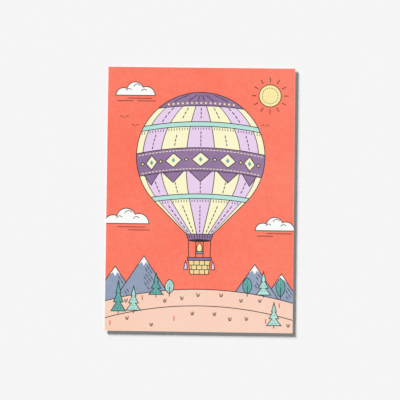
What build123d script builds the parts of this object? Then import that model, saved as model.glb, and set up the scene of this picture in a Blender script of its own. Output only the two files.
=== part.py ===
from build123d import *
import math
import os

os.makedirs("parts", exist_ok=True)

# Card and board, in millimetres: an A6 card of three pressed plies
card_width = 105.0
card_height = 148.0
back_ply_thickness = 0.10
core_ply_thickness = 0.22
face_ply_thickness = 0.13
ink_thickness = 0.012
line_width = 0.45
bleed = 4.0

# Balloon: a ball with a straight taper down to its mouth
balloon_radius = 36.0
balloon_centre_height = 24.0
taper_angle = 45.0
mouth_width = 15.0
gore_count = 7
band_sag = 4.0
crown_cap_rise = 28.5
stripe_height = 2.6
upper_stripe_rise = 17.0
lower_stripe_rise = -23.5
belt_rise = -8.0
belt_height = 13.0
lozenge_fill = 0.62
lozenge_height = 8.0
stud_width = 2.0
dag_depth = 6.0
dag_fill = 0.8
skirt_height = 3.6
skirt_bottom_width = 12.5
mouth_opening = 1.6

# Basket, burner and ropes, hung below the mouth
rope_drop = 9.5
rope_count = 4
rim_width = 13.4
rim_height = 1.7
basket_top_width = 12.0
basket_bottom_width = 10.2
basket_height = 7.6
weave_rows = 3
weave_columns = 4
burner_width = 4.4
burner_height = 1.2
burner_lift = 2.2
flame_width = 3.0
flame_height = 6.0
sandbag_width = 2.0
sandbag_neck = 1.0
sandbag_length = 3.8
sandbag_reach = 7.6
sandbag_drop = 1.2

# Land and sky: crests stand above the card's lower edge, and the sun keeps its place in the corner
far_hill_crest = 23.5
far_hill_crest_x = 10.0
near_hill_crest = 14.0
near_hill_crest_x = -14.0
hill_fall = 8.0
trunk_height = 1.6
fir_tiers = 3
fir_spread = 2.7
fir_overlap = 1.35
snow_depth = 5.5
snow_notch = 0.6
poplar_width = 5.0
sun_inset = 14.0
sun_drop = 15.5
sun_radius = 6.2
sun_ray_count = 12
sun_ray_gap = 1.5
sun_ray_length = 2.6

# A cloud's notches and the bulges beside them, as shares of its length
cloud_notches = [(-0.22, 0.17), (0.19, 0.21)]
cloud_bulges = [0.09, 0.15, 0.10]

# Where a bird's wing bends and where its tip is, as shares of its span
wing_bend = (0.25, 0.2)
wing_tip = (0.5, 0.125)

# Things on the left, -1, or the right, 1, each with its inset from the card's edge on that side.
# Trees go on with the ground above the lower edge, their height and their ink.
near_firs = [(-1, 7.5, 9.5, 15.0, "teal"), (-1, 16.0, 10.0, 12.0, "mint"), (1, 10.5, 2.5, 11.5, "mint")]
far_firs = [(1, 16.5, 19.5, 11.5, "mint"), (-1, 28.5, 19.0, 10.5, "teal")]
poplars = [(1, 25.5, 20.0, 9.0, "teal"), (1, 7.0, 18.5, 10.5, "teal"), (-1, 36.0, 19.5, 8.0, "mint")]

# Peaks go on with their top above the lower edge, half their base and their height
peaks = [(-1, 21.5, 42.0, 20.0, 30.0), (1, 21.5, 38.0, 18.0, 26.0)]
peaks += [(-1, 5.5, 36.0, 18.0, 26.0), (1, 6.5, 33.0, 16.0, 24.0)]

# Clouds and birds go on with their drop below the upper edge and their length
clouds = [(-1, 11.5, 88.0, 25.0), (1, 10.5, 91.0, 22.0), (-1, 15.5, 16.0, 22.0)]
birds = [(-1, 9.5, 29.0, 6.0), (-1, 15.5, 33.5, 4.6), (1, 16.5, 33.0, 5.0)]

# Back print: a dividing rule, address lines and a place for the stamp
rule_width = 0.25
rule_margin = 7.5
address_line_count = 4
address_line_pitch = 10.0
address_line_start = 8.0
address_line_margin = 8.0
last_address_line_margin = 14.5
stamp_frame_width = 21.0
stamp_frame_height = 25.0
stamp_margin = 7.0

# Levels of the layers above the surface that the card lies on
core_level = back_ply_thickness
face_level = core_level + core_ply_thickness
print_level = face_level + face_ply_thickness
ink_level = print_level - ink_thickness

right_edge = card_width / 2
upper_edge = card_height / 2
lower_edge = -card_height / 2
half_line = line_width / 2
crown_height = balloon_centre_height + balloon_radius
taper_half_width = balloon_radius * math.cos(math.radians(taper_angle))
taper_height = balloon_centre_height - balloon_radius * math.sin(math.radians(taper_angle))
taper_drop = (taper_half_width - mouth_width / 2) / math.tan(math.radians(taper_angle))
mouth_height = taper_height - taper_drop
skirt_base = mouth_height - skirt_height
rim_top = skirt_base - rope_drop
basket_top = rim_top - rim_height
seam_shares = [round(-math.cos(math.pi * k / gore_count), 9) for k in range(gore_count + 1)]


def outline(shape):
    """The key line that runs round a shape, half inside its edge and half outside."""
    with BuildSketch() as line:
        offset(shape, amount=half_line, kind=Kind.INTERSECTION, mode=Mode.ADD)
        offset(shape, amount=-half_line, kind=Kind.INTERSECTION, mode=Mode.SUBTRACT)
    return line.sketch


def joined(shapes):
    """One sketch that holds all the shapes given."""
    with BuildSketch() as whole:
        add(shapes)
    return whole.sketch


def without(shape, cutters):
    """A shape less everything that lies in front of it."""
    with BuildSketch() as rest:
        add(shape)
        if cutters:
            add(cutters, mode=Mode.SUBTRACT)
    return rest.sketch


def within(shape, limit):
    """The stretch of a shape that lies inside a limit."""
    with BuildSketch() as piece:
        add(shape)
        add(limit, mode=Mode.INTERSECT)
    return piece.sketch


def seam(share, shift=0.0):
    """Draw a seam from crown to mouth, at a share of the balloon's half width."""
    crown = (shift, crown_height)
    waist = (share * balloon_radius + shift, balloon_centre_height)
    taper = (share * taper_half_width + shift, taper_height)
    if share:
        ThreePointArc(crown, waist, taper)
    else:
        Line(crown, taper)
    Line(taper, (share * mouth_width / 2 + shift, mouth_height))


def seam_line(share):
    """The key line along a seam."""
    mouth = share * mouth_width / 2
    with BuildSketch() as line:
        with BuildLine():
            seam(share, -half_line)
            seam(share, half_line)
            Line((-half_line, crown_height), (half_line, crown_height))
            Line((mouth - half_line, mouth_height), (mouth + half_line, mouth_height))
        make_face()
    return line.sketch


def gore(left_share, right_share):
    """The cloth between two seams."""
    with BuildSketch() as cloth:
        with BuildLine():
            seam(left_share)
            seam(right_share)
            Line(
                (left_share * mouth_width / 2, mouth_height),
                (right_share * mouth_width / 2, mouth_height),
            )
        make_face()
    return cloth.sketch


def band(low, high):
    """A strip right across the balloon, bowed up in the middle as a level ring looks."""
    reach = balloon_radius + line_width
    with BuildSketch() as strip:
        with BuildLine():
            ThreePointArc((-reach, low - band_sag), (0, low), (reach, low - band_sag))
            Line((reach, low - band_sag), (reach, high - band_sag))
            ThreePointArc((reach, high - band_sag), (0, high), (-reach, high - band_sag))
            Line((-reach, high - band_sag), (-reach, low - band_sag))
        make_face()
    return strip.sketch


def band_height_at(level, x):
    """Height of a bowed ring at a distance from the balloon's middle line."""
    return level - band_sag * (x / balloon_radius) ** 2


def lozenge(x, level, width, height):
    """An upright diamond whose side corners lie on a bowed ring."""
    middle = band_height_at(level, x)
    left = x - width / 2
    right = x + width / 2
    with BuildSketch() as diamond:
        Polygon(
            (left, band_height_at(level, left)),
            (x, middle + height / 2),
            (right, band_height_at(level, right)),
            (x, middle - height / 2),
            align=None,
        )
    return diamond.sketch


def dot(x, y, radius):
    """A round spot."""
    with BuildSketch() as spot:
        with Locations((x, y)):
            Circle(radius)
    return spot.sketch


def panel(x, top, top_width, bottom_width, height):
    """An upright panel that hangs from a level, with its own width at either end."""
    with BuildSketch() as shape:
        with Locations((x, top)):
            Polygon(
                (-top_width / 2, 0),
                (top_width / 2, 0),
                (bottom_width / 2, -height),
                (-bottom_width / 2, -height),
                align=None,
            )
    return shape.sketch


def leaf(x, foot, width, height):
    """A pointed upright leaf between two arcs."""
    with BuildSketch() as shape:
        with BuildLine():
            for side in (-1, 1):
                belly = (x + side * width / 2, foot + height / 2)
                ThreePointArc((x, foot), belly, (x, foot + height))
        make_face()
    return shape.sketch


def strokes(pairs):
    """Straight key lines between pairs of points."""
    with BuildSketch() as lines:
        for start, end in pairs:
            with BuildLine():
                Line(start, end)
            trace(line_width=line_width)
    return lines.sketch


def envelope_cloth():
    """The balloon's cloth: its outline, the inks in it from front to back, and its key lines."""
    whole = gore(-1, 1)
    cap_low = balloon_centre_height + crown_cap_rise
    belt_low = balloon_centre_height + belt_rise
    belt_high = belt_low + belt_height
    belt_middle = (belt_low + belt_high) / 2
    upper_low = balloon_centre_height + upper_stripe_rise
    lower_low = balloon_centre_height + lower_stripe_rise
    upper_high = upper_low + stripe_height
    lower_high = lower_low + stripe_height
    cap = within(band(cap_low, crown_height + band_sag), whole)
    belt = within(band(belt_low, belt_high), whole)
    upper_stripe = within(band(upper_low, upper_high), whole)
    lower_stripe = within(band(lower_low, lower_high), whole)
    rings = [cap, upper_stripe, belt, lower_stripe]

    # The two gores at the rim are seen edge on, so they carry no ornament
    lozenges = []
    dags = []
    for left, right in zip(seam_shares[1:-2], seam_shares[2:-1]):
        middle = balloon_radius * (left + right) / 2
        width = balloon_radius * (right - left)
        lozenges.append(lozenge(middle, belt_middle, lozenge_fill * width, lozenge_height))
        dags.append(lozenge(middle, belt_low, dag_fill * width, 2 * dag_depth))
    studs = []
    for share in seam_shares[1:-1]:
        studs.append(lozenge(share * balloon_radius, belt_middle, stud_width, stud_width))

    panels = [("yellow", stud) for stud in studs]
    panels += [("cream", shape) for shape in lozenges]
    panels += [("purple", belt), ("purple", cap)]
    panels += [("mint", upper_stripe), ("mint", lower_stripe)]
    panels += [("purple", shape) for shape in dags]
    for number, (left, right) in enumerate(zip(seam_shares, seam_shares[1:])):
        panels.append(("lilac" if number % 2 else "cream", gore(left, right)))

    seams = [seam_line(share) for share in seam_shares[1:-1]]
    lines = [outline(whole), without(seams, rings + dags)]
    for level in (cap_low, upper_low, upper_high, belt_low, belt_high, lower_low, lower_high):
        lines.append(within(band(level - half_line, level + half_line), whole))
    lines += [without(outline(shape), [belt]) for shape in dags]
    lines += [outline(shape) for shape in lozenges + studs]
    return whole, panels, joined(lines)


def basket_and_burner():
    """What hangs below the balloon: skirt, flame, burner, ropes, wicker basket and sandbags."""
    burner_base = rim_top + burner_lift
    bag_top = basket_top - sandbag_drop
    skirt = panel(0, mouth_height, mouth_width, skirt_bottom_width, skirt_height)
    rim = panel(0, rim_top, rim_width, rim_width, rim_height)
    basket = panel(0, basket_top, basket_top_width, basket_bottom_width, basket_height)
    burner = panel(0, burner_base + burner_height, burner_width, burner_width, burner_height)
    flame = leaf(0, burner_base, flame_width, flame_height)
    panels = [("purple", rim), ("slate_blue", burner), ("yellow", flame)]
    panels += [("purple", skirt), ("yellow", basket)]

    ropes = []
    for k in range(rope_count):
        share = k / (rope_count - 1) - 0.5
        ropes.append(((share * skirt_bottom_width, skirt_base), (share * basket_top_width, rim_top)))
    for side in (-1, 1):
        bag_x = side * sandbag_reach
        ropes.append(((bag_x, basket_top), (bag_x, bag_top)))
        panels.append(("lilac", panel(bag_x, bag_top, sandbag_neck, sandbag_width, sandbag_length)))

    weave = []
    row_pitch = basket_height / weave_rows
    column_pitch = basket_top_width / weave_columns
    for row in range(weave_rows):
        row_top = basket_top - row * row_pitch
        weave.append(((-basket_top_width, row_top), (basket_top_width, row_top)))
        for column in range(weave_columns + 1):
            x = (column - weave_columns / 2 + (row % 2) / 2) * column_pitch
            weave.append(((x, row_top), (x, row_top - row_pitch)))

    # Seen from a little below, the ring at the skirt's foot shows the dark inside
    with BuildSketch() as opening:
        with Locations((0, skirt_base)):
            Ellipse(skirt_bottom_width / 2, mouth_opening / 2)

    shapes = [shape for ink, shape in panels]
    lines = [opening.sketch, without(strokes(ropes), shapes), within(strokes(weave), basket)]
    for number, shape in enumerate(shapes):
        lines.append(without(outline(shape), shapes[:number]))
    return joined(shapes), panels, joined(lines)


def hill(crest_x, crest):
    """A rounded hill right across the card and out into the bleed."""
    reach = right_edge + bleed
    base = lower_edge - bleed
    top = lower_edge + crest
    side = top - hill_fall
    with BuildSketch() as land:
        with BuildLine():
            ThreePointArc((-reach, side), (crest_x, top), (reach, side))
            Polyline((reach, side), (reach, base), (-reach, base), (-reach, side))
        make_face()
    return land.sketch, [("peach", land.sketch)], outline(land.sketch)


def poplar(side, inset, rise, height, ink):
    """A slender tree: a pointed crown on a short trunk drawn by the key line alone."""
    x = side * (right_edge - inset)
    ground = lower_edge + rise
    crown = leaf(x, ground + trunk_height, poplar_width, height)
    trunk = strokes([((x, ground), (x, ground + trunk_height + height / 2))])
    return crown, [(ink, crown)], joined([outline(crown), trunk])


def fir_tree(side, inset, rise, height, ink):
    """A fir: tiers of branches, each wider than the one above."""
    x = side * (right_edge - inset)
    ground = lower_edge + rise
    tier_height = height / fir_tiers
    foot = ground + trunk_height
    with BuildSketch() as branches:
        for tier in range(fir_tiers):
            half_width = fir_spread * (fir_tiers - tier) / 2
            tier_foot = foot + tier * tier_height
            tip = tier_foot + tier_height * fir_overlap
            Polygon((x - half_width, tier_foot), (x + half_width, tier_foot), (x, tip), align=None)
    trunk = strokes([((x, ground), (x, foot))])
    return branches.sketch, [(ink, branches.sketch)], joined([outline(branches.sketch), trunk])


def mountain(side, inset, rise, half_base, height):
    """A peak with a ragged cap of snow, which is bare board."""
    x = side * (right_edge - inset)
    top = lower_edge + rise
    snow_half = snow_depth * half_base / height
    with BuildSketch() as peak:
        with Locations((x, top)):
            Polygon((0, 0), (half_base, -height), (-half_base, -height), align=None)
    with BuildSketch() as snow:
        with Locations((x, top)):
            Polygon(
                (0, 0),
                (snow_half, -snow_depth),
                (snow_half / 3, -snow_depth * snow_notch),
                (0, -snow_depth),
                (-snow_half / 3, -snow_depth * snow_notch),
                (-snow_half, -snow_depth),
                align=None,
            )
    panels = [("board", snow.sketch), ("slate_blue", peak.sketch)]
    return peak.sketch, panels, outline(peak.sketch)


def cloud(side, inset, drop, length):
    """A flat-bottomed cloud with three billows, left as bare board."""
    x = side * (right_edge - inset)
    y = upper_edge - drop
    corners = [(-0.5, 0)] + cloud_notches + [(0.5, 0)]
    points = [(x + length * across, y + length * up) for across, up in corners]
    with BuildSketch() as vapour:
        with BuildLine():
            for start, end, bulge in zip(points, points[1:], cloud_bulges):
                SagittaArc(start, end, bulge * length)
            Line(points[-1], points[0])
        make_face()
    return vapour.sketch, [("board", vapour.sketch)], outline(vapour.sketch)


def sun():
    """A low sun with a ring of short rays."""
    x = right_edge - sun_inset
    y = upper_edge - sun_drop
    disc = dot(x, y, sun_radius)
    rays = []
    for k in range(sun_ray_count):
        angle = 2 * math.pi * k / sun_ray_count
        near = sun_radius + sun_ray_gap
        far = near + sun_ray_length
        start = (x + near * math.cos(angle), y + near * math.sin(angle))
        rays.append((start, (x + far * math.cos(angle), y + far * math.sin(angle))))
    return disc, [("yellow", disc)], joined([outline(disc), strokes(rays)])


def bird(side, inset, drop, span):
    """A far bird, two pointed wings that meet in the middle."""
    x = side * (right_edge - inset)
    y = upper_edge - drop
    bend_height = y + span * wing_bend[1]
    tip_height = y + span * wing_tip[1]
    with BuildSketch() as wings:
        for wing in (-1, 1):
            bend_x = x + wing * span * wing_bend[0]
            Polygon(
                (x - wing * half_line, y),
                (bend_x, bend_height),
                (x + wing * span * wing_tip[0], tip_height),
                (bend_x, bend_height + line_width),
                align=None,
            )
    return wings.sketch


# The picture's things from front to back, each an outline, its inks and its key lines
things = [basket_and_burner(), envelope_cloth()]
things += [fir_tree(*tree) for tree in near_firs]
things.append(hill(near_hill_crest_x, near_hill_crest))
things += [fir_tree(*tree) for tree in far_firs]
things += [poplar(*tree) for tree in poplars]
things.append(hill(far_hill_crest_x, far_hill_crest))
things += [mountain(*peak) for peak in peaks]
things += [cloud(*place) for place in clouds]
things.append(sun())

inks = ["coral", "peach", "cream", "lilac", "purple", "mint", "teal", "slate_blue", "yellow"]
areas = {ink: [] for ink in inks + ["board"]}
key_lines = [bird(*place) for place in birds]
in_front = []
for silhouette, panels, lines in things:
    over = list(in_front)
    for ink, shape in panels:
        areas[ink].append(without(shape, over))
        over.append(shape)
    key_lines.append(without(lines, in_front))
    in_front.append(silhouette)
with BuildSketch() as sky:
    Rectangle(card_width, card_height)
    add(in_front, mode=Mode.SUBTRACT)
areas["coral"].append(sky.sketch)


def film(name, shapes, level):
    """One printed film: its areas trimmed to the card and given the ink's thickness."""
    with BuildPart() as layer:
        with BuildSketch(Plane.XY.offset(level)):
            add(shapes)
            Rectangle(card_width, card_height, mode=Mode.INTERSECT)
        extrude(amount=ink_thickness)
    layer.part.label = name
    export_step(layer.part, f"parts/{name}.step")
    return layer.part


for ink in inks:
    film(f"ink_{ink}", areas[ink], ink_level)
film("ink_key_line", key_lines, print_level)

# Back print, laid out for a reader who holds the card on its long side
with BuildSketch() as divider_rule:
    Rectangle(card_width - 2 * rule_margin, rule_width)
with BuildSketch() as address_lines:
    address_line_end = upper_edge - address_line_margin
    for line in range(address_line_count):
        x = last_address_line_margin + line * address_line_pitch - right_edge
        with Locations((x, (address_line_start + address_line_end) / 2)):
            Rectangle(rule_width, address_line_end - address_line_start)
with BuildSketch() as stamp_frame:
    stamp_x = right_edge - stamp_margin - stamp_frame_height / 2
    stamp_y = upper_edge - stamp_margin - stamp_frame_width / 2
    with Locations((stamp_x, stamp_y)):
        Rectangle(stamp_frame_height, stamp_frame_width)
        Rectangle(
            stamp_frame_height - 2 * rule_width,
            stamp_frame_width - 2 * rule_width,
            mode=Mode.SUBTRACT,
        )
film("back_divider_rule", divider_rule.sketch, 0)
film("back_address_lines", address_lines.sketch, 0)
film("back_stamp_frame", stamp_frame.sketch, 0)

with BuildPart() as back_ply:
    with BuildSketch():
        Rectangle(card_width, card_height)
    extrude(amount=back_ply_thickness)
    with BuildSketch():
        add([divider_rule.sketch, address_lines.sketch, stamp_frame.sketch])
    extrude(amount=ink_thickness, mode=Mode.SUBTRACT)
back_ply.part.label = "back_ply"
export_step(back_ply.part, "parts/back_ply.step")

with BuildPart() as core_ply:
    with BuildSketch(Plane.XY.offset(core_level)):
        Rectangle(card_width, card_height)
    extrude(amount=core_ply_thickness)
core_ply.part.label = "core_ply"
export_step(core_ply.part, "parts/core_ply.step")

# The inks soak into the face, so the paper stands at full height only where it is bare
with BuildPart() as face_ply:
    with BuildSketch(Plane.XY.offset(face_level)):
        Rectangle(card_width, card_height)
    extrude(amount=face_ply_thickness - ink_thickness)
    with BuildSketch(Plane.XY.offset(ink_level)):
        add(areas["board"])
        Rectangle(card_width, card_height, mode=Mode.INTERSECT)
    extrude(amount=ink_thickness)
face_ply.part.label = "face_ply"
export_step(face_ply.part, "parts/face_ply.step")
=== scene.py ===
# %% [markdown]
# # A printed postcard
# A picture postcard is a small sheet of board. Three plies of paper are pressed into one stiff sheet, a
# press lays the picture on the face one colour at a time, the back gets a little grey print, and a
# guillotine cuts the sheet to size. The CAD model already has all of that as separate pieces at their real
# size, so nothing is modelled twice here. This lesson gives the card its looks: light, paper, ink, wear,
# and the small pen marks of the picture.

# %% Load the card
import bmesh
import bpy
import math
import random
from mathutils import Matrix, Vector
from mathutils.bvhtree import BVHTree
from mathutils.geometry import intersect_line_line


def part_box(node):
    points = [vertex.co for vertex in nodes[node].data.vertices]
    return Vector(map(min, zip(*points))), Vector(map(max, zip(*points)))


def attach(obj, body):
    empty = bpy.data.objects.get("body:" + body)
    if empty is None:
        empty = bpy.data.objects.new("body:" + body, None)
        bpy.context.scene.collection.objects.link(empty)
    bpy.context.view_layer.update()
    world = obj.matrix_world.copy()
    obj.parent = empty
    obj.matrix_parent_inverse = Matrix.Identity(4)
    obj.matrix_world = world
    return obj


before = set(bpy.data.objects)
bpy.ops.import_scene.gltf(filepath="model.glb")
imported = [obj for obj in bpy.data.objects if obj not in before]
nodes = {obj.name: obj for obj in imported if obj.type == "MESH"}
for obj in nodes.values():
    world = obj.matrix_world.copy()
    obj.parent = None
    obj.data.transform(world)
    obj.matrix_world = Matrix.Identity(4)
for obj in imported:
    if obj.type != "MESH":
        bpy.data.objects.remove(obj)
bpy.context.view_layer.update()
scene = bpy.context.scene
scene.view_settings.view_transform = "Standard"

MM = 0.001
card_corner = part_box("core_ply")[1]
half_width = card_corner.x
half_height = card_corner.y
print_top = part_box("ink_coral")[1].z
print(f"{len(nodes)} nodes, card {2 * half_width / MM:.1f} by {2 * half_height / MM:.1f} mm")
print(f"print {print_top / MM:.3f} mm above the table")

# %% [markdown]
# ## The camera
# The card was photographed from almost straight above with a long lens, which keeps its sides nearly
# parallel. A camera can be aimed with a Track To constraint, but a plain place and turn is easier to read
# and can't change by itself. The lens hangs about half a metre over the card, a little to the right of
# the card's middle and nearer its lower edge. It is tilted and turned by about a degree, because nobody
# lays a card down perfectly square.

# %% Camera above the card
camera_place = Vector((6.685, -9.737, 528.866)) * MM
camera_turn = [math.radians(angle) for angle in (1.030, 0.7165, 0.7454)]
lens_length = 85
film_width = 36

camera = bpy.data.objects.new("camera", bpy.data.cameras.new("camera"))
camera.data.lens = lens_length
camera.data.sensor_width = film_width
camera.location = camera_place
camera.rotation_euler = camera_turn
scene.collection.objects.link(camera)
scene.camera = camera
print(f"camera {camera_place.z / MM:.0f} mm above the table")

# %% [markdown]
# ## The room and the table
# The table is a plain pale sheet, and the room has the same pale colour, so no horizon shows. The room has
# two strengths: what the camera and reflections see is the pale colour, and what lights the card is only
# the fill light, a little under a quarter of the whole. Light Path tells the two apart. The table is a
# plain diffuse surface, so it looks the same from all sides and keeps the card's shadow.
#
# Nodes could be added and linked one by one. Three helpers keep that short: one adds a node and sets or
# links its sockets, one does a step of arithmetic, and one turns a colour as a screen shows it into linear
# light, in which Blender works.

# %% Tools for node trees
def add_node(tree, kind, inputs=None, **settings):
    """One node with its settings, and its sockets set or linked by name or number."""
    node = tree.nodes.new(kind)
    for name, value in settings.items():
        setattr(node, name, value)
    for socket, value in (inputs or {}).items():
        if isinstance(value, bpy.types.NodeSocket):
            tree.links.new(value, node.inputs[socket])
        else:
            node.inputs[socket].default_value = value
    return node


def calculate(tree, operation, first, second=0.0, clamp=False):
    """The result of one step of arithmetic."""
    step = add_node(tree, "ShaderNodeMath", {0: first, 1: second}, operation=operation, use_clamp=clamp)
    return step.outputs[0]


def paint(red, green, blue):
    """A colour as a screen shows it, from 0 to 255, made linear by the sRGB curve."""
    shares = [value / 255 for value in (red, green, blue)]
    linear = [s / 12.92 if s <= 0.04045 else ((s + 0.055) / 1.055) ** 2.4 for s in shares]
    return (*linear, 1.0)


middle_grey = paint(128, 128, 128)
print(f"a screen's middle grey is {middle_grey[0]:.3f} in linear light")

# %% Pale room
fill_share = 0.23
plain_white = (1, 1, 1, 1)
table_colour = paint(245.5, 245.5, 245.5)

room = bpy.data.worlds.new("pale_room")
scene.world = room
room.use_nodes = True
tree = room.node_tree
rays = add_node(tree, "ShaderNodeLightPath").outputs
seen = calculate(tree, "MAXIMUM", rays["Is Camera Ray"], rays["Is Glossy Ray"])
seen = calculate(tree, "MAXIMUM", seen, rays["Is Transmission Ray"])
strengths = {"Value": seen, "To Min": fill_share, "To Max": table_colour[0]}
strength = add_node(tree, "ShaderNodeMapRange", strengths).outputs["Result"]
tree.links.new(strength, tree.nodes["Background"].inputs["Strength"])
tree.nodes["Background"].inputs["Color"].default_value = plain_white
print(f"fill light {fill_share:.2f}, room as seen {table_colour[0]:.3f}")

# %% Pale table
table_width = 8.0
table_gap = 0.02 * MM

table_finish = bpy.data.materials.new("table_finish")
table_finish.use_nodes = True
tree = table_finish.node_tree
matte = add_node(tree, "ShaderNodeBsdfDiffuse", {"Color": table_colour})
tree.links.new(matte.outputs["BSDF"], tree.nodes["Material Output"].inputs["Surface"])

shape = bmesh.new()
bmesh.ops.create_grid(shape, x_segments=1, y_segments=1, size=table_width / 2)
bmesh.ops.translate(shape, verts=shape.verts, vec=(0, 0, -table_gap))
table = bpy.data.objects.new("table", bpy.data.meshes.new("table"))
shape.to_mesh(table.data)
shape.free()
table.data.materials.append(table_finish)
scene.collection.objects.link(table)
print(f"table {table_width:.0f} m wide, {table_gap / MM:.2f} mm under the card")

# %% [markdown]
# ## The lamps
# The shadow shows how the card was lit: it is crisp inside and soft outside, it lies only on the right and
# below, and it is several times wider than the card is thick. So the light came from the upper left, and
# very low. Such a low lamp would glare on the cut edges, so the work is split, as a studio does with
# screens: a low lamp reaches the table alone and draws the shadow, and a higher one from the same side
# reaches the card alone. Blender's light linking does the screening. It also names what may block a lamp:
# for the low one that is the face with its inks, which gives the shadow its nearly square ends.
#
# Both are sun lamps, whose rays are parallel, so the shadow is equally wide all along an edge, and a
# lamp's angle sets how soft it is. Each lamp brings a level surface, with the fill, to the light of an
# all-white sky of strength 1, so a colour renders about as it is written.

# %% Low lamp for the shadow, high lamp for the card
shadow_right = 2.0 * MM
shadow_down = 2.35 * MM
shadow_softness = math.radians(6)
card_lamp_elevation = math.radians(75)
card_lamp_softness = math.radians(20)


def sun_lamp(name, path, softness, table_state):
    """A sun along a path, which the table alone, or all but the table, receives."""
    lamp = bpy.data.objects.new(name, bpy.data.lights.new(name, "SUN"))
    lamp.data.energy = (1 - fill_share) * math.pi / -path.normalized().z
    lamp.data.angle = softness
    lamp.rotation_euler = path.to_track_quat("-Z", "Y").to_euler()
    scene.collection.objects.link(lamp)
    screened = bpy.data.collections.new(name + "_screen")
    screened.objects.link(table)
    screened.collection_objects[0].light_linking.link_state = table_state
    lamp.light_linking.receiver_collection = screened
    print(f"{name}: strength {lamp.data.energy:.2f}")
    return lamp


across = Vector((shadow_right, -shadow_down, 0))
low_lamp = sun_lamp("low_lamp", across - Vector((0, 0, print_top)), shadow_softness, "INCLUDE")
fall = across.length * math.tan(card_lamp_elevation)
sun_lamp("high_lamp", across - Vector((0, 0, fall)), card_lamp_softness, "EXCLUDE")

blockers = bpy.data.collections.new("low_lamp_blockers")
for name, node in nodes.items():
    if name == "face_ply" or name.startswith("ink_"):
        blockers.objects.link(node)
low_lamp.light_linking.blocker_collection = blockers

# %% [markdown]
# ## What all the prints share
# Four small things tell paper and ink from flat colour, and every finish on the card uses some of them:
#
# - the press lays ink unevenly, in soft patches; the film is also thinned towards the right of the sheet,
#   a painted sheen that makes that side lighter;
# - tiny pinholes stay bare where the ink didn't reach into the paper;
# - the paper has a tooth of fine fibres that lie along its grain;
# - the cut edges are rubbed, so a thin ragged line of board shows there.
#
# Three node groups make them. A group is built once and placed in each finish with its own values, which
# keeps the finishes short and alike. All the patterns are noise on Object coordinates: they need no
# picture, and they run on unbroken from one ink to the next, as they do on a real sheet.

# %% Tools for groups
VECTOR = "NodeSocketVector"
NUMBER = "NodeSocketFloat"
noise_middle = 0.5


def new_group(name, inputs, outputs):
    """An empty shader group: its tree, the values that it is given and the values that it puts out."""
    tree = bpy.data.node_groups.new(name, "ShaderNodeTree")
    for label, kind in inputs.items():
        tree.interface.new_socket(label, in_out="INPUT", socket_type=kind)
    for label in outputs:
        tree.interface.new_socket(label, in_out="OUTPUT", socket_type=NUMBER)
    return tree, tree.nodes.new("NodeGroupInput").outputs, tree.nodes.new("NodeGroupOutput").inputs


def place_group(tree, group, **inputs):
    """A group placed in a finish, ready to be read by the names of its outputs."""
    return add_node(tree, "ShaderNodeGroup", inputs, node_tree=group).outputs


def noise(tree, place, size, detail=2.0):
    """Soft noise about zero, whose patches have about the size given."""
    cloud = add_node(tree, "ShaderNodeTexNoise", {"Vector": place, "Scale": 1 / size, "Detail": detail})
    return calculate(tree, "SUBTRACT", cloud.outputs["Fac"], noise_middle)


print(f"noise stays within {noise_middle} of zero")

# %% [markdown]
# ### Press marks and painted sheen
# The thickness of an ink film is a sum: a slope across the sheet and three noises, from broad clouds to a
# fine mottle, each with its own weight. The slope is a painted sheen: it thins every ink towards the right,
# so that side of the card is lighter. Pinholes are the peaks of one more noise, finer still. A single
# noise with more detail would be shorter, but then the sizes couldn't be weighted one by one.

# %% Press marks: uneven ink, painted sheen and pinholes
painted_sheen_drift = 0.22
even_density = 0.5
patch_weights = {45 * MM: 0.9, 4.5 * MM: 0.55, 1.3 * MM: 0.75}
pinhole_size = 0.24 * MM
pinhole_level = 0.2
pinhole_fade = 0.06

press_marks_and_sheen, given, result = new_group("press_marks_and_sheen", {"Place": VECTOR}, ["Density", "Pinholes"])
across_sheet = add_node(press_marks_and_sheen, "ShaderNodeSeparateXYZ", {"Vector": given["Place"]}).outputs["X"]
# Painted sheen: the ink is made thinner towards the right, so the right of the card is lighter.
painted_sheen = calculate(press_marks_and_sheen, "MULTIPLY", across_sheet, painted_sheen_drift / (2 * half_width))
density_and_sheen = calculate(press_marks_and_sheen, "SUBTRACT", even_density, painted_sheen)
for size, weight in patch_weights.items():
    patch = calculate(press_marks_and_sheen, "MULTIPLY", noise(press_marks_and_sheen, given["Place"], size), weight)
    density_and_sheen = calculate(press_marks_and_sheen, "ADD", patch, density_and_sheen)
press_marks_and_sheen.links.new(density_and_sheen, result["Density"])

speck = noise(press_marks_and_sheen, given["Place"], pinhole_size, detail=1.0)
holes = {"Value": speck, "From Min": pinhole_level, "From Max": pinhole_level + pinhole_fade}
pinholes = add_node(press_marks_and_sheen, "ShaderNodeMapRange", holes)
press_marks_and_sheen.links.new(pinholes.outputs["Result"], result["Pinholes"])
print(f"{press_marks_and_sheen.name}: {len(press_marks_and_sheen.nodes)} nodes")

# %% [markdown]
# ### Paper tooth
# Paper fibres are long and thin. Noise turns into streaks when a Mapping node stretches it along one axis.
# The noise is turned three ways before it is stretched, which gives three sets of fibres with one grain.
# The highest of them shows at each point, as fibres lie over each other.

# %% Paper tooth: fibres along the grain
fibre_width = 0.07 * MM
fibre_stretch = 0.1
fibre_turns = (0.35, -0.55, 1.6)
fibre_lift = 0.4

paper_tooth, given, result = new_group("paper_tooth", {"Place": VECTOR}, ["Fibre"])
fibre = None
for turn in fibre_turns:
    turned = {"Vector": given["Place"], "Rotation": (0, 0, turn), "Scale": (fibre_stretch, 1, 1)}
    lengthwise = add_node(paper_tooth, "ShaderNodeMapping", turned).outputs["Vector"]
    strand = noise(paper_tooth, lengthwise, fibre_width)
    fibre = strand if fibre is None else calculate(paper_tooth, "MAXIMUM", fibre, strand)
paper_tooth.links.new(calculate(paper_tooth, "ADD", fibre, fibre_lift), result["Fibre"])
print(f"{paper_tooth.name}: fibres {fibre_width / MM:.2f} mm wide")

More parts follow.
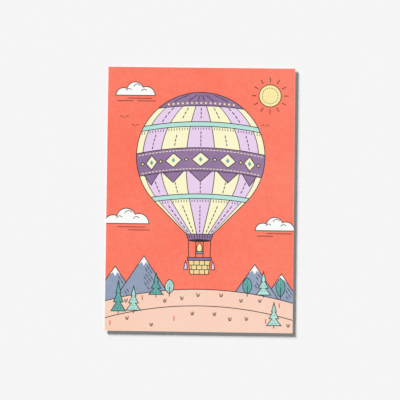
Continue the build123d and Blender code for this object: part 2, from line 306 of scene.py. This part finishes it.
# %% [markdown]
# ### Edge wear
# A card is rubbed along its cut edges first. Wear is often found from the bend of a mesh, but a card is
# flat, so here it comes from the distance to the nearest edge. Noise makes the line ragged.

# %% Edge wear: how far a point is from the cut
ragged_size = 0.7 * MM

edge_wear, given, result = new_group("edge_wear", {"Place": VECTOR, "Reach": NUMBER}, ["Wear"])
along = add_node(edge_wear, "ShaderNodeSeparateXYZ", {"Vector": given["Place"]}).outputs
to_side = calculate(edge_wear, "SUBTRACT", half_width, calculate(edge_wear, "ABSOLUTE", along["X"]))
to_end = calculate(edge_wear, "SUBTRACT", half_height, calculate(edge_wear, "ABSOLUTE", along["Y"]))
to_edge = calculate(edge_wear, "MINIMUM", to_side, to_end)
ragged = calculate(edge_wear, "MULTIPLY", noise(edge_wear, given["Place"], ragged_size), given["Reach"])
to_edge = calculate(edge_wear, "ADD", to_edge, ragged)
fade = {"Value": to_edge, "From Max": given["Reach"], "To Min": 1.0, "To Max": 0.0}
worn = add_node(edge_wear, "ShaderNodeMapRange", fade, interpolation_type="SMOOTHSTEP")
edge_wear.links.new(worn.outputs["Result"], result["Wear"])
print(f"{edge_wear.name}: cuts {half_width / MM:.1f} and {half_height / MM:.1f} mm from the middle")

# %% [markdown]
# ## Ink
# The inks are matte and sink a little into the paper. Where a film is thin more paper shines through, and
# where it is thick less does: light passes it twice, so its colour is raised to a power that grows with
# its thickness. Two colours, thin and dense, made by that rule and mixed by the press marks, give a
# mottling that stays true to each ink: pale inks hardly show it, strong ones do. Pinholes and the rubbed
# edge let the board through. The tooth of the paper goes to the roughness and to a Bump node, only a few
# thousandths of a millimetre deep, as on smooth printing paper.

# %% Tools for finishes
tooth_depth = 0.006 * MM


def mix_colours(tree, share, first, second):
    """A colour between two others. Mix uses a socket's name more than once, so numbers pick them."""
    return add_node(tree, "ShaderNodeMix", {0: share, 6: first, 7: second}, data_type="RGBA").outputs[2]


def new_finish(name, roughness, gloss):
    """A finish with the tooth of the paper: its material, tree, shader and Object coordinates."""
    finish = bpy.data.materials.new(name)
    finish.use_nodes = True
    tree = finish.node_tree
    shader = tree.nodes["Principled BSDF"]
    shader.inputs["Specular IOR Level"].default_value = gloss
    place = add_node(tree, "ShaderNodeTexCoord").outputs["Object"]
    fibre = place_group(tree, paper_tooth, Place=place)["Fibre"]
    rough = {"Value": fibre, "To Min": roughness[0], "To Max": roughness[1]}
    uneven = add_node(tree, "ShaderNodeMapRange", rough)
    tree.links.new(uneven.outputs["Result"], shader.inputs["Roughness"])
    tooth = add_node(tree, "ShaderNodeBump", {"Height": fibre, "Distance": tooth_depth})
    tree.links.new(tooth.outputs["Normal"], shader.inputs["Normal"])
    return finish, tree, shader, place


print(f"paper tooth {tooth_depth / MM:.3f} mm deep")

# %% Ink finish
board_white = paint(252, 251, 248)
thin_power = 0.85
dense_power = 1.15
pinhole_share = 0.3
wear_share = 0.15
wear_reach = 0.55 * MM
ink_roughness = (0.62, 0.82)
ink_gloss = 0.1


def film_of(colour, power):
    """An ink's colour at another thickness of film."""
    return (*[channel**power for channel in colour[:3]], 1.0)


def ink_finish(name, colour):
    """A matte ink on paper: uneven, with painted sheen on the right, pinholed, rubbed at the card's edge.
    """
    finish, tree, shader, place = new_finish(name, ink_roughness, ink_gloss)
    marks = place_group(tree, press_marks_and_sheen, Place=place)
    worn = place_group(tree, edge_wear, Place=place, Reach=wear_reach)["Wear"]
    # The density mix also carries the painted sheen, which lightens the right of the card.
    tone = mix_colours(tree, marks["Density"], film_of(colour, thin_power), film_of(colour, dense_power))
    bare = calculate(tree, "MULTIPLY", marks["Pinholes"], pinhole_share)
    bare = calculate(tree, "MAXIMUM", bare, calculate(tree, "MULTIPLY", worn, wear_share))
    tree.links.new(mix_colours(tree, bare, tone, board_white), shader.inputs["Base Color"])
    return finish


thin_grey = film_of(middle_grey, thin_power)
dense_grey = film_of(middle_grey, dense_power)
print(f"middle grey as a thin film {thin_grey[0]:.3f}, as a dense one {dense_grey[0]:.3f}")

# %% Mix the inks
ink_colours = {
    "ink_coral": paint(252, 123, 100),
    "ink_peach": paint(250, 209, 188),
    "ink_cream": paint(251, 246, 204),
    "ink_lilac": paint(233, 208, 238),
    "ink_purple": paint(146, 116, 156),
    "ink_mint": paint(180, 228, 218),
    "ink_teal": paint(101, 175, 170),
    "ink_slate_blue": paint(147, 161, 185),
    "ink_yellow": paint(249, 234, 163),
    "ink_key_line": paint(46, 42, 44),
    "ink_back_grey": paint(150, 150, 152),
}
inks = {name: ink_finish(name, colour) for name, colour in ink_colours.items()}
print(f"{len(inks)} inks mixed")

# %% [markdown]
# ## Board
# The face is bleached white paper, the core is plainer pulp and the back is uncoated paper, a little
# warmer, for writing on. On the cut edge the plies show as fine streaks along the sheet, because the
# fibres lie flat in it. Noise that is squeezed in Z gives those streaks on the edge and a soft cloudiness
# on the flat faces, so one finish serves both.

# %% Board finish
streak_size = 0.9 * MM
streak_squeeze = 22
streak_detail = 4.0
fibre_share = 0.5
board_roughness = (0.78, 0.95)
board_gloss = 0.1


def board_finish(name, colour, shade):
    """Paper board: cloudy and fibrous on the flat, streaked along its cut edge."""
    finish, tree, shader, place = new_finish(name, board_roughness, board_gloss)
    squeezed = add_node(tree, "ShaderNodeMapping", {"Vector": place, "Scale": (1, 1, streak_squeeze)})
    cloudy = noise(tree, squeezed.outputs["Vector"], streak_size, detail=streak_detail)
    fibre = place_group(tree, paper_tooth, Place=place)["Fibre"]
    fibrous = calculate(tree, "MULTIPLY", fibre, fibre_share)
    depth = calculate(tree, "ADD", cloudy, fibrous, clamp=True)
    tree.links.new(mix_colours(tree, depth, colour, shade), shader.inputs["Base Color"])
    return finish


boards = {
    "face_ply": board_finish("face_board", paint(253, 253, 251), paint(247, 247, 244)),
    "core_ply": board_finish("core_board", paint(243, 240, 232), paint(224, 219, 207)),
    "back_ply": board_finish("back_board", paint(249, 246, 238), paint(240, 235, 224)),
}
print(f"{len(boards)} boards made")

# %% Give each node its finish
for name, node in nodes.items():
    if name.startswith("back_") and name not in boards:
        finish = inks["ink_back_grey"]
    else:
        finish = boards.get(name) or inks[name]
    node.data.materials.clear()
    node.data.materials.append(finish)
print(", ".join(f"{name}: {node.data.materials[0].name}" for name, node in sorted(nodes.items())))

# %% [markdown]
# ## Pen marks
# The picture also has small marks inside its outlines: stitches down the balloon's cloth, fringes,
# hatching on the slopes, needles on the trees and tufts of grass. They could be painted by a shader, but a
# mark that is a thin film of ink, like the outlines, stays sharp close up and has an edge of its own. To
# keep a mark off the outlines and inside its own patch of colour, rays are dropped on the card round it,
# and the mark is kept only where the plates that it belongs on are on top. So the patterns can be laid out
# by simple rules, in millimetres, and still fit.

# %% Which plate shows at a point
print_level = print_top / MM
mark_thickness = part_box("ink_key_line")[1].z / MM - print_level
mark_room = 0.3
ray_height = 1000.0
depsgraph = bpy.context.evaluated_depsgraph_get()
plates = {name: BVHTree.FromObject(node, depsgraph) for name, node in nodes.items()}


def plate_at(point):
    """Name of the topmost plate at a point of the picture, given in millimetres."""
    above = Vector((point.x * MM, point.y * MM, ray_height * MM))
    down = Vector((0, 0, -1))
    hits = [(plate.ray_cast(above, down)[0], name) for name, plate in plates.items()]
    return max([(place.z, name) for place, name in hits if place], default=(0, None))[1]


def fits(start, end, wanted):
    """Whether a mark, with some room round it, lies on the wanted plates alone."""
    along = (end - start).normalized() * mark_room
    across = Vector((-along.y, along.x))
    round_it = [start - along, end + along]
    for point in (start, (start + end) / 2, end):
        round_it += [point - across, point + across]
    return all(plate_at(point) in wanted for point in round_it)


def kept(marks, *wanted):
    """The marks that lie on the wanted plates, with some room round them."""
    return [mark for mark in marks if fits(*mark, wanted)]


print(f"marks {mark_thickness:.3f} mm thick; the middle of the card is {plate_at(Vector((0, 0)))}")

# %% [markdown]
# ### Straight strokes
# Most marks are straight strokes of a pen. A curve with a bevel could draw them, but it would be round,
# and ink lies flat. So a stroke starts as a cube, stretched into a thin block between its two ends, and
# Bevel rounds the upright edges, as a pen leaves them. It is closed and as thick as the outlines, and all
# the strokes of one kind become one piece.

# %% From a shape to a printed piece
def new_piece(name, shape, ink):
    """A printed piece from a shape in millimetres, in an ink of the card."""
    bmesh.ops.scale(shape, vec=(MM, MM, MM), verts=shape.verts)
    piece = bpy.data.objects.new(name, bpy.data.meshes.new(name))
    shape.to_mesh(piece.data)
    shape.free()
    piece.data.materials.append(inks[ink])
    scene.collection.objects.link(piece)
    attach(piece, "root")
    print(f"{name}: {len(piece.data.polygons)} faces")


print(f"a piece takes one of {len(inks)} inks")

# %% Tool for straight strokes
mark_middle = print_level + mark_thickness / 2
end_rounding = 0.46
end_segments = 2


def is_upright(edge):
    """Whether an edge stands up from the card."""
    first, last = edge.verts
    return abs(first.co.z - last.co.z) > mark_thickness / 2


def pen_strokes(name, strokes, width, ink="ink_key_line"):
    """A piece of straight strokes, each a thin block with rounded ends between two points."""
    shape = bmesh.new()
    for start, end in strokes:
        run = end - start
        place = Matrix.Translation((*((start + end) / 2), mark_middle))
        place @= Matrix.Rotation(math.atan2(run.y, run.x), 4, "Z")
        place @= Matrix.Diagonal((run.length + width, width, mark_thickness, 1))
        bmesh.ops.create_cube(shape, size=1, matrix=place)
    bmesh.ops.bevel(
        shape,
        geom=[edge for edge in shape.edges if is_upright(edge)],
        offset=end_rounding * width,
        affect="EDGES",
        segments=end_segments,
        profile=0.5,
        material=-1,
    )
    new_piece(name, shape, ink)


print(f"the middle of a stroke is {mark_middle:.3f} mm above the table")

# %% [markdown]
# ### The balloon's cloth
# A balloon's cloth is sewn from upright gores. Real gores carry rows of stitches, and a drawn one looks
# like cloth as soon as it has some. Each seam of the drawn balloon is a circular arc from the crown to
# where the taper starts, then a straight line. With the same arcs here, stitches run down the middle
# between two seams, and the seams go on over the cap, where the model leaves them out. Level rings, such
# as the belt, bow up in the middle, because the balloon is seen from a little below. They bow as a
# parabola does, which needs no more than one square. Heights are counted from the balloon's middle, and
# those of its stripes, belt and cap are the CAD model's own.

# %% Seams of the balloon
purple_low, purple_high = [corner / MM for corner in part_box("ink_purple")]
balloon_radius = (purple_high.x - purple_low.x) / 2
balloon_centre = purple_high.y - balloon_radius
shoulder = -balloon_radius / math.sqrt(2)
gore_count = 7


def seam_arc(share):
    """Middle and radius of a seam's arc, which passes the crown, the waist and the shoulder.

    The middle lies where two lines cross, each square to a chord of the arc at its halfway point.
    """
    crown = Vector((0, balloon_radius, 0))
    waist = Vector((share * balloon_radius, 0, 0))
    taper = Vector((-share * shoulder, shoulder, 0))
    halves = []
    for first, last in ((crown, waist), (waist, taper)):
        halfway = (first + last) / 2
        halves += [halfway, halfway + (last - first).cross(Vector((0, 0, 1)))]
    centre = intersect_line_line(*halves)[0]
    return centre, (crown - centre).length


def seam_x(share, height):
    """How far a seam is from the balloon's middle line, at a height above the balloon's middle."""
    if height < shoulder:
        return share * (height - 2 * shoulder)
    centre, radius = seam_arc(share)
    return centre.x + math.copysign(math.sqrt(radius**2 - (height - centre.y) ** 2), share)


seams = [-math.cos(math.pi * k / gore_count) for k in range(gore_count + 1)]
gores = list(zip(seams, seams[1:]))[1:-1]
print(f"balloon {2 * balloon_radius:.1f} mm wide, its middle {balloon_centre:.1f} mm above the card's")

# %% Level rings round the balloon
ring_sag = 4.0


def sag_at(x):
    """How far a level ring has come down at a distance from the middle line."""
    return ring_sag * (x / balloon_radius) ** 2


def on_ring(x, height):
    """A point on a level ring round the balloon."""
    return Vector((x, balloon_centre + height - sag_at(x)))


def along_ring(height, pitch, length):
    """Marks along a ring, right across the balloon."""
    steps = int(balloon_radius / pitch)
    middles = [step * pitch for step in range(-steps, steps + 1)]
    return [(on_ring(x - length / 2, height), on_ring(x + length / 2, height)) for x in middles]


print(f"halfway to its end, a ring is {sag_at(balloon_radius / 2):.1f} mm down")

# %% Fringes under the stripes
fine_line = 0.38
stripe_feet = (17.0, -23.5)
fringe_pitch = 1.5
fringe_gap = 0.7
fringe_length = 1.1

fringes = []
for foot in stripe_feet:
    tops = [start for start, end in along_ring(foot - fringe_gap, fringe_pitch, 0)]
    fringes += [(top, top - Vector((0, fringe_length))) for top in tops]
pen_strokes("stripe_fringes", kept(fringes, "ink_cream", "ink_lilac"), fine_line)

# %% Stitches down the gores
stitch_line = 0.5
stitch_pitch = 2.2
stitch_length = 1.2
stitch_reach = 2.5 * balloon_radius
belt_foot = -8.0
belt_top = 5.0
fringe_room = fringe_gap + 2 * fringe_length
plain_rings = [(belt_foot, belt_top)] + [(foot - fringe_room, foot) for foot in stripe_feet]


def gore_middle(left, right, height):
    """A point midway between two seams."""
    return Vector(((seam_x(left, height) + seam_x(right, height)) / 2, balloon_centre + height))


stitches = []
for gore in gores:
    for row in range(int(stitch_reach / stitch_pitch)):
        height = balloon_radius - row * stitch_pitch
        top = gore_middle(*gore, height)
        ring = height + sag_at(top.x)
        if not any(low < ring < high for low, high in plain_rings):
            stitches.append((top, gore_middle(*gore, height - stitch_length)))
pen_strokes("gore_stitches", kept(stitches, "ink_cream", "ink_lilac"), stitch_line)

# %% [markdown]
# ### The cap: bent strokes and spots
# A cap of strong cloth covers the crown. The seams run over it as arcs, and a row of beads follows its
# foot. An arc of short straight strokes would overlap at its joints, so a bent stroke starts as a small
# upright face, which Spin turns round the middle of its arc. A bead is a disc, raised by Extrude. With
# four sides the same tool makes a diamond.

# %% Tool for bent strokes
bend_step = 0.5
half_unit = 0.5


def pen_arcs(name, arcs, width):
    """A piece of bent strokes, each given by its arc's middle, radius, and angles at both ends."""
    shape = bmesh.new()
    for centre, radius, first, last in arcs:
        middle = Vector((*centre, mark_middle))
        place = Matrix.Translation(middle) @ Matrix.Rotation(first, 4, "Z")
        place @= Matrix.Translation((radius, 0, 0)) @ Matrix.Rotation(math.pi / 2, 4, "X")
        place @= Matrix.Diagonal((width, mark_thickness, 1, 1))
        square = bmesh.ops.create_grid(shape, x_segments=1, y_segments=1, size=half_unit, matrix=place)
        corners = square["verts"]
        end = corners[0].link_faces[0]
        bmesh.ops.spin(
            shape,
            geom=[end, *end.edges, *corners],
            cent=middle,
            axis=(0, 0, 1),
            angle=last - first,
            steps=math.ceil(radius * abs(last - first) / bend_step),
        )
    bmesh.ops.recalc_face_normals(shape, faces=shape.faces)
    new_piece(name, shape, "ink_key_line")


print(f"a bent stroke turns in steps of at most {bend_step} mm")

# %% Tool for spots
round_sides = 16


def dots(name, centres, width, height, sides, ink):
    """A piece of flat spots, which are diamonds if they have four sides."""
    shape = bmesh.new()
    for centre in centres:
        place = Matrix.Translation((*centre, print_level)) @ Matrix.Diagonal((width, height, 1, 1))
        bmesh.ops.create_circle(shape, cap_ends=True, radius=half_unit, segments=sides, matrix=place)
    raised = bmesh.ops.extrude_face_region(shape, geom=shape.faces[:], use_keep_orig=True)["geom"]
    lifted = [part for part in raised if isinstance(part, bmesh.types.BMVert)]
    bmesh.ops.translate(shape, vec=(0, 0, mark_thickness), verts=lifted)
    bmesh.ops.recalc_face_normals(shape, faces=shape.faces)
    new_piece(name, shape, ink)


print(f"a round spot has {round_sides} sides")

# %% Cap seams and beads
cap_foot = 28.5
bead_width = 1.1
bead_pitch = 2.6
bead_rise = 1.6
cap_seam_foot = cap_foot + bead_rise + bead_width
cap_seam_top = 34.5


def seam_angle(share, height):
    """The angle on a seam's arc about where a ring of the given height crosses it."""
    centre = seam_arc(share)[0]
    x = seam_x(share, height)
    return math.atan2(height - sag_at(x) - centre.y, seam_x(share, height - sag_at(x)) - centre.x)


cap_seams = []
for share in seams[1:-1]:
    centre, radius = seam_arc(share)
    place = Vector((centre.x, balloon_centre + centre.y))
    cap_seams.append((place, radius, seam_angle(share, cap_seam_foot), seam_angle(share, cap_seam_top)))
pen_arcs("cap_seams", cap_seams, fine_line)

bead_row = kept(along_ring(cap_foot + bead_rise, bead_pitch, bead_width), "ink_purple")
beads = [(left + right) / 2 for left, right in bead_row]
dots("cap_beads", beads, bead_width, bead_width, round_sides, "ink_yellow")

# %% [markdown]
# ### The belt
# A belt goes round the balloon's waist, sewn on with pale thread along both edges, and each lozenge on it
# has a heart of another colour. The stitches follow a level ring and are short enough to stay straight.
# The hearts are spots with four sides, in the middle of each gore.

# %% Stitched belt and the hearts of its lozenges
belt_inset = 1.25
belt_pitch = 1.9
belt_stitch = 0.95
belt_line = 0.36
heart_width = 2.0
heart_height = 3.0
diamond_sides = 4

belt_stitches = []
for height in (belt_foot + belt_inset, belt_top - belt_inset):
    belt_stitches += kept(along_ring(height, belt_pitch, belt_stitch), "ink_purple")
pen_strokes("belt_stitches", belt_stitches, belt_line, "ink_cream")

belt_middle = (belt_foot + belt_top) / 2
hearts = [on_ring((left + right) / 2 * balloon_radius, belt_middle) for left, right in gores]
dots("lozenge_hearts", hearts, heart_width, heart_height, diamond_sides, "ink_teal")

# %% [markdown]
# ### Skirt and basket
# A pleated skirt hangs at the balloon's mouth, and under it a basket woven from reeds. Pleats lean in
# towards their feet, as the skirt narrows. The reeds are very thin strokes, in coral on the basket's
# yellow, so the dark outlines stay the strongest lines.

# %% Pleats of the skirt
mouth_half = 7.5
pleat_pitch = 1.5
pleat_steps = int(mouth_half / pleat_pitch)
pleat_span = (0.8, 2.2)
pleat_draw_in = 0.92

mouth = balloon_centre + 2 * shoulder + mouth_half
pleats = []
for step in range(-pleat_steps, pleat_steps + 1):
    top = Vector((step * pleat_pitch, mouth - pleat_span[0]))
    pleats.append((top, Vector((top.x * pleat_draw_in, mouth - pleat_span[1]))))
pen_strokes("skirt_pleats", kept(pleats, "ink_purple"), fine_line)

# %% Reeds of the basket
basket_height = 7.6
basket_rows = 3
basket_half = 6.0
reed_pitch = 0.75
reed_steps = int(basket_half / reed_pitch)
reed_length = 1.1
reed_line = 0.2

basket_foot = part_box("ink_yellow")[0].y / MM
reeds = []
for row in range(basket_rows):
    row_middle = basket_foot + (row + 1 / 2) * basket_height / basket_rows
    for step in range(-reed_steps, reed_steps + 1):
        foot = Vector((step * reed_pitch, row_middle - reed_length / 2))
        reeds.append((foot, foot + Vector((0, reed_length))))
pen_strokes("basket_reeds", kept(reeds, "ink_yellow"), reed_line, "ink_coral")

# %% [markdown]
# ### Sky
# Curls give the flat clouds some body, thin strokes of wind lie under them, and a ring of dashes sits in
# the sun. The clouds' middles and lengths are the CAD model's own. Places on a cloud are shares of its
# length, so one set of curls serves clouds of any size. A curl is kept only if its chord lies on bare
# board, so one that the card's edge would cut is left out.

# %% Curls and wind
clouds = {(-41.0, -14.0): 25.0, (42.0, -17.0): 22.0, (-37.0, 58.0): 22.0}
curl_places = [(-0.16, 0.10, 0.07), (0.04, 0.20, 0.09), (0.22, 0.09, 0.07)]
curl_ends = (math.radians(30), math.radians(165))
wind_lines = [(-0.20, 0.42, -0.075), (0.05, 0.52, -0.14), (-0.45, -0.05, -0.14)]

curls = []
wind = []
for (x, y), length in clouds.items():
    for aside, up, share in curl_places:
        centre = Vector((x + length * aside, y + length * up))
        radius = length * share
        ends = [centre + radius * Vector((math.cos(angle), math.sin(angle))) for angle in curl_ends]
        if fits(*ends, ["face_ply"]):
            curls.append((centre, radius, *curl_ends))
    for left, right, up in wind_lines:
        level = y + length * up
        wind.append((Vector((x + length * left, level)), Vector((x + length * right, level))))
pen_arcs("cloud_curls", curls, fine_line)
pen_strokes("wind_lines", kept(wind, "ink_coral"), fine_line)

# %% Ring of the sun
sun_radius = 6.2
ring_radius = 4.4
ring_dashes = 20

sun_place = (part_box("ink_yellow")[1] / MM).xy - Vector((sun_radius, sun_radius))
dash = math.pi / ring_dashes
sun_ring = [(sun_place, ring_radius, 2 * k * dash, (2 * k + 1) * dash) for k in range(ring_dashes)]
pen_arcs("sun_ring", sun_ring, fine_line)

# %% [markdown]
# ### Mountains and trees
# The land is drawn with strokes: rows of them down one side of each mountain, slanted pairs for needles on
# the firs, and a leader above each poplar's trunk, with branches on both sides. Peaks and poplars are where
# the CAD model has them. The rows cover more ground than they need, because the test of the plates drops
# what doesn't fit. Needles and poplars share their inks, so the needles have to be kept out of the
# poplars' crowns, which are listed.

# %% Hatching on the slopes
peak_tops = [Vector((-31.0, -32.0)), Vector((31.0, -36.0)), Vector((-47.0, -38.0)), Vector((46.0, -41.0))]
slope = Vector((0.68, -1.0))
hatch_rows = 8
hatch_steps = 14
hatch_shift = 1.9
hatch_pitch = 2.3
hatch_length = 1.6

hatching = []
for top in peak_tops:
    for row in range(1, hatch_rows + 1):
        for step in range(row, hatch_steps):
            start = top + slope * (step * hatch_pitch + row % 2) - Vector((row * hatch_shift, 0))
            if start.x > top.x:
                hatching.append((start, start + slope * hatch_length))
pen_strokes("slope_hatching", kept(hatching, "ink_slate_blue"), fine_line)

# %% Needles of the firs
leaf_line = 0.2
tree_tops = -28.0
needle_pitch = 1.5
needle_rows = int((half_height / MM + tree_tops) / needle_pitch)
needle_columns = int(half_width / MM / needle_pitch)
needle_gap = 0.13
needle_reach = 0.42
needle_drop = 0.45
poplar_half = 2.5
poplar_crowns = {(27.0, -52.4): 9.0, (45.5, -53.9): 10.5, (-16.5, -52.9): 8.0}


def in_poplar(point):
    """Whether a point lies beside a poplar's trunk, within the reach of its crown."""
    return any(
        abs(point.x - x) < poplar_half and foot < point.y < foot + height
        for (x, foot), height in poplar_crowns.items()
    )


needles = []
for row in range(needle_rows):
    for column in range(-needle_columns, needle_columns):
        tip = Vector(((column + row % 2 / 2) * needle_pitch, tree_tops - row * needle_pitch))
        for side in (-1, 1):
            root = tip + Vector((side * needle_gap, 0))
            if not in_poplar(root):
                needles.append((root, tip + Vector((side * needle_reach, -needle_drop))))
pen_strokes("tree_needles", kept(needles, "ink_teal", "ink_mint"), leaf_line)

# %% Branches of the poplars
branch_pitch = 1.25
branch_gap = 0.55
branch_reach = 0.8
branch_rise = 0.75
leader_gap = 0.6
leader_share = 0.86

branches = []
for (x, foot), height in poplar_crowns.items():
    leader_foot = Vector((x, foot + height / 2 + leader_gap))
    branches.append((leader_foot, Vector((x, foot + leader_share * height))))
    for row in range(int(height / branch_pitch)):
        for side in (-1, 1):
            fork = Vector((x + side * branch_gap, foot + row * branch_pitch))
            branches.append((fork, fork + Vector((side * branch_reach, branch_rise))))
pen_strokes("poplar_branches", kept(branches, "ink_teal", "ink_mint"), leaf_line)

# %% [markdown]
# ### The meadow
# Tufts of grass and small flowers grow where they like, so no regular row will do. Feet are drawn at
# random with a fixed seed, which gives the same meadow on each run. A foot is taken if it is far enough
# from the others, and if a tuft and a flower would both fit on the land there.

# %% Blades of a tuft
meadow_seed = 2
tuft_leans = (-1, 0, 1)
blade_gap = 0.4
blade_lean = 0.9
blade_lengths = (1.3, 1.9)
draw = random.Random(meadow_seed)


def blades_at(foot):
    """Blades of grass that spread from a foot, each of a random length."""
    blades = []
    for lean in tuft_leans:
        tip = foot + Vector((lean * blade_lean, draw.uniform(*blade_lengths)))
        blades.append((foot + Vector((lean * blade_gap, 0)), tip))
    return blades


print(f"a tuft has {len(tuft_leans)} blades")

# %% Scatter tufts and flowers
meadow_top = -50.0
meadow_margin = 2.5
meadow_half = half_width / MM - meadow_margin
meadow_foot = meadow_margin - half_height / MM
tuft_tries = 800
tuft_spacing = 9.0
flower_share = 0.4
stem_length = 1.4
bloom_lift = 0.64
petal_width = 0.48
petal_ring = 0.42
petal_reach = petal_ring + petal_width / 2

tufts = []
stems = []
blooms = []
taken = []
for attempt in range(tuft_tries):
    foot = Vector((draw.uniform(-meadow_half, meadow_half), draw.uniform(meadow_foot, meadow_top)))
    blades = blades_at(foot)
    bloom = foot + Vector((0, stem_length + bloom_lift))
    top = bloom + Vector((0, petal_reach))
    side = Vector((petal_reach, 0))
    marks = blades + [(foot, top), (bloom - side, bloom + side)]
    near = any((foot - other).length < tuft_spacing for other in taken)
    if near or len(kept(marks, "ink_peach")) < len(marks):
        continue
    taken.append(foot)
    if draw.random() < flower_share:
        stems.append((foot, foot + Vector((0, stem_length))))
        blooms.append(bloom)
    else:
        tufts += blades
print(f"{len(taken)} feet taken, {len(blooms)} of them by flowers")

# %% Grass, petals and hearts
petal_count = 5
flower_heart = 0.34

pen_strokes("grass_tufts", tufts + stems, fine_line)
petals = []
for bloom in blooms:
    for k in range(petal_count):
        angle = math.pi / 2 + 2 * math.pi * k / petal_count
        petals.append(bloom + petal_ring * Vector((math.cos(angle), math.sin(angle))))
dots("flower_petals", petals, petal_width, petal_width, round_sides, "ink_coral")
dots("flower_hearts", blooms, flower_heart, flower_heart, round_sides, "ink_yellow")
